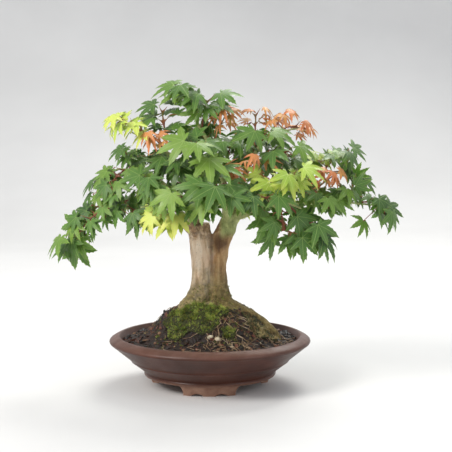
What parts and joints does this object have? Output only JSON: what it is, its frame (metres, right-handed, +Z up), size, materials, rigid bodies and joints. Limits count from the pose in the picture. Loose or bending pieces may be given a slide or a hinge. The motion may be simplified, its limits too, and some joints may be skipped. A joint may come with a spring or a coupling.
{
  "type": "potted maple bonsai",
  "caption": "Broad-crowned maple bonsai with palmate leaves and a short thick trunk, on a mossy mound in a round clay pot on cloud feet.",
  "frame": {"origin": "on the table, under the middle of the whole tree's box; the pot's axis is 19.6 mm to its left and 1.3 mm in front of it", "axes": "+Z up the trunk, -Y towards the viewing front, +X to the viewer's right, along the crown's longest spread"},
  "size_m": [0.4236, 0.2565, 0.3624],
  "materials": {
    "pot_clay": "unglazed red-brown stoneware, satin, paler on the rim and feet",
    "screen_plastic": "matt black",
    "aluminium_wire": "dull",
    "soil": "moist dark crumbs of clay grit and bark",
    "bark": "pale tan bark, darker along the seam and green with moss at the base",
    "moss": "short bright green tufts",
    "dry_moss": "short olive and straw-coloured tufts",
    "pale_grit": "matt cream",
    "pink_chip": "matt pink",
    "leaf_green": "satin mid-green leaf, paler beneath",
    "leaf_lime": "satin yellow-green young leaf",
    "leaf_red": "satin orange-red young leaf"
  },
  "bodies": {
    "root": {"pot": "pot_clay", "drainage_screen": "screen_plastic", "screen_clip": "aluminium_wire", "tie_wire": "aluminium_wire", "soil": "soil", "trunk_and_limbs": "bark", "moss_front": "moss", "moss_tuft": "moss", "moss_shoulder": "dry_moss", "moss_back": "moss", "pale_pebble_1": "pale_grit", "pale_pebble_2": "pale_grit", "pink_chip": "pink_chip", "shoot_01_left_low": "leaf_green", "shoot_02_left_low": "leaf_green", "shoot_03_left_low": "leaf_green", "shoot_04_left_low": "leaf_green", "shoot_05_left_mid": "leaf_green", "shoot_06_left_mid": "leaf_green", "shoot_07_left_mid": "leaf_green", "shoot_08_left_mid": "leaf_green", "shoot_09_left_high": "leaf_lime", "shoot_10_left_high": "leaf_red", "shoot_11_left_high": "leaf_green", "shoot_12_left_high": "leaf_green", "shoot_13_crown": "leaf_green", "shoot_14_crown": "leaf_green", "shoot_15_crown": "leaf_red", "shoot_16_crown": "leaf_green", "shoot_17_crown": "leaf_green", "shoot_18_right_high": "leaf_red", "shoot_19_right_high": "leaf_red", "shoot_20_right_high": "leaf_green", "shoot_21_right_high": "leaf_red", "shoot_22_right_high": "leaf_green", "shoot_23_right_mid": "leaf_lime", "shoot_24_right_mid": "leaf_green", "shoot_25_right_mid": "leaf_green", "shoot_26_right_mid": "leaf_green", "shoot_27_right_mid": "leaf_green", "shoot_28_right_low": "leaf_green", "shoot_29_right_low": "leaf_green", "shoot_30_right_low": "leaf_red", "shoot_31_right_low": "leaf_green", "shoot_32_front": "leaf_green", "shoot_33_front": "leaf_green", "shoot_34_front": "leaf_red", "shoot_35_front": "leaf_red", "shoot_36_front_left": "leaf_green", "shoot_37_front_left": "leaf_green", "shoot_38_front_left": "leaf_lime", "shoot_39_front_right": "leaf_lime", "shoot_40_front_right": "leaf_green", "shoot_41_front_right": "leaf_green", "shoot_42_front_right": "leaf_green", "shoot_43_back": "leaf_green", "shoot_44_back": "leaf_lime", "shoot_45_back_left": "leaf_green", "shoot_46_back_right": "leaf_green", "shoot_47_back_right": "leaf_green"}
  },
  "joints": []
}
